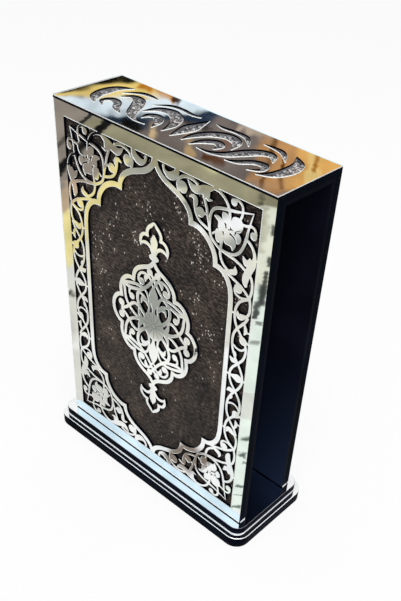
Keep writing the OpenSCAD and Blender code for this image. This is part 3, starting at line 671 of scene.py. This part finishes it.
# Grey flags behind and beside the case: painted reflections for the mirrors that face away, in the same order
backCards = {
    "backBand": ("#7f848a", 0, -0.70, 0.70, 0.095, 0.165, 0.040, 0.10),
    "endBand": ("#7f848a", 0, -0.225, -0.160, -0.10, 0.50, 0.040, 0.10),
    "backNear": ("#c2c5c8", 0, -0.80, 0.80, 0.24, 0.46, 0.100, 0.10),
    "backFar": ("#8f9398", 0, -1.20, 1.20, 0.62, 1.00, 0.180, 0.10),
    "endNear": ("#b6babd", 0, -0.52, -0.30, 0.01, 0.60, 0.090, 0.10),
    "endFar": ("#8f9398", 0, -1.10, -0.66, 0.01, 0.90, 0.180, 0.10),
}
# Upright flags in a ring, and one large card above for the ledges of the base, all painted reflections, in
# metres
flagRing = {"tone": "#a9adb1", "count": 7, "distance": 2.2, "height": 0.85, "half": (0.5, 0.34), "fade": 0.25}
skyCard = {
    "tone": "#dff3ff", "middle": Vector((-0.73, -0.75, 1.07)), "half": 0.75,
    "fade": 0.02, "uneven": 0.02, "gain": 1.18,
}
cardSetup = {
    "wander": 45, "wanderShare": 0.7, "cloud": 70,   # mm, the share is of a small card's narrow side
    "noiseFrom": 0.3, "noiseTo": 0.7,                # where most of a noise lies
    "uneven": 0.22, "gain": 1,                       # how the brightness varies, and its middle
}
layerGap = {"wall": 0.002, "floor": 0.0005}   # metres from one card to the next


# Light of one card: uneven, and fading out to a wandering edge
def cardGlow(name, tone, wide, high, fade, setup):
    material = bpy.data.materials.new("card." + name)
    material.use_nodes = True
    tree = material.node_tree
    tree.nodes.clear()
    coords = addNode(tree, "TexCoord")
    spot = addNode(tree, "SeparateXYZ", links={"Vector": (coords, "UV")})
    # How far in from the nearer side and end
    sideShare = addNode(tree, "Math", {"operation": "PINGPONG", 1: 0.5}, {0: (spot, "X")})
    endShare = addNode(tree, "Math", {"operation": "PINGPONG", 1: 0.5}, {0: (spot, "Y")})
    fromSide = addNode(tree, "Math", {"operation": "MULTIPLY", 1: wide}, {0: (sideShare, "Value")})
    fromEnd = addNode(tree, "Math", {"operation": "MULTIPLY", 1: high}, {0: (endShare, "Value")})
    inside = addNode(tree, "Math", {"operation": "MINIMUM"}, {0: (fromSide, "Value"), 1: (fromEnd, "Value")})
    ripple = min(setup["wander"], setup["wanderShare"] * min(wide, high) / mm)   # finer on a small card
    wander = addNode(tree, "TexNoise", {"Scale": perMetre(ripple), "Detail": 1.0},
                     {"Vector": (coords, "Object")})
    usual = {"From Min": setup["noiseFrom"], "From Max": setup["noiseTo"]}
    shift = addNode(tree, "MapRange", usual | {"To Min": -fade / 2, "To Max": fade / 2},
                    {"Value": (wander, "Fac")})
    reach = addNode(tree, "Math", {"operation": "ADD"}, {0: (inside, "Value"), 1: (shift, "Result")})
    cover = addNode(tree, "MapRange", {"interpolation_type": "SMOOTHSTEP", "From Max": fade},
                    {"Value": (reach, "Value")})
    cloud = addNode(tree, "TexNoise", {"Scale": perMetre(setup["cloud"]), "Detail": 3.0},
                    {"Vector": (coords, "Object")})
    dimmest = setup["gain"] - setup["uneven"]
    brightest = setup["gain"] + setup["uneven"]
    level = addNode(tree, "MapRange", usual | {"To Min": dimmest, "To Max": brightest},
                    {"Value": (cloud, "Fac")})
    glow = addNode(tree, "Emission", {"Color": hexColor(tone)}, {"Strength": (level, "Result")})
    clear = addNode(tree, "BsdfTransparent")
    faded = addNode(tree, "MixShader",
                    links={0: (cover, "Result"), 1: (clear, "BSDF"), 2: (glow, "Emission")})
    addNode(tree, "OutputMaterial", links={"Surface": (faded, "Shader")})
    return material


def makeCard(name, tone, middle, across, upward, fade, setup):
    bm = bmesh.new()
    bm.loops.layers.uv.new("card")
    bmesh.ops.create_grid(bm, x_segments=1, y_segments=1, size=1, calc_uvs=True)
    for corner in bm.verts:
        corner.co = middle + across * corner.co.x + upward * corner.co.y
    mesh = bpy.data.meshes.new("card." + name)
    bm.to_mesh(mesh)
    bm.free()
    mesh.materials.append(cardGlow(name, tone, 2 * across.length, 2 * upward.length, fade, setup))
    card = bpy.data.objects.new("card." + name, mesh)
    for ray in ("camera", "diffuse", "transmission", "volume_scatter", "shadow"):   # all but glossy
        setattr(card, "visible_" + ray, False)
    scene.collection.objects.link(card)


for step, (name, row) in enumerate(wallCards.items()):
    tone, (along, height), (halfWide, halfHigh), lean, fade = row
    away = wallPlace["away"] * (wallPlace["distance"] + layerGap["wall"] * step)
    middle = away + wallPlace["along"] * along + Vector((0, 0, height))
    leaning = Matrix.Rotation(math.radians(-lean), 3, wallPlace["away"])
    across = leaning @ wallPlace["along"] * halfWide
    upward = leaning @ Vector((0, 0, halfHigh))
    makeCard("wall." + name, tone, middle, across, upward, fade, cardSetup)
for step, (name, row) in enumerate((floorCards | backCards).items()):
    tone, turn, left, right, near, far, fade, uneven = row
    turned = Matrix.Rotation(math.radians(turn), 3, "Z")
    middle = turned @ Vector(((left + right) / 2, (near + far) / 2, layerGap["floor"] * (step + 1)))
    across = turned @ Vector(((right - left) / 2, 0, 0))
    upward = turned @ Vector((0, (far - near) / 2, 0))
    makeCard("floor." + name, tone, middle, across, upward, fade, dict(cardSetup, uneven=uneven))
halfWide, halfHigh = flagRing["half"]
for i in range(flagRing["count"]):
    turned = Matrix.Rotation(i * math.tau / flagRing["count"], 3, "Z")
    middle = turned @ Vector((0, flagRing["distance"], flagRing["height"]))
    across = turned @ Vector((halfWide, 0, 0))
    upward = Vector((0, 0, halfHigh))
    makeCard("flag." + str(i), flagRing["tone"], middle, across, upward, flagRing["fade"], cardSetup)
facing = skyCard["middle"].normalized()
across = facing.cross(side["top"]).normalized()
upward = across.cross(facing)
makeCard("paintedSkyReflection", skyCard["tone"], skyCard["middle"], across * skyCard["half"], upward * skyCard["half"],
         skyCard["fade"], dict(cardSetup, uneven=skyCard["uneven"], gain=skyCard["gain"]))
print("cards made")
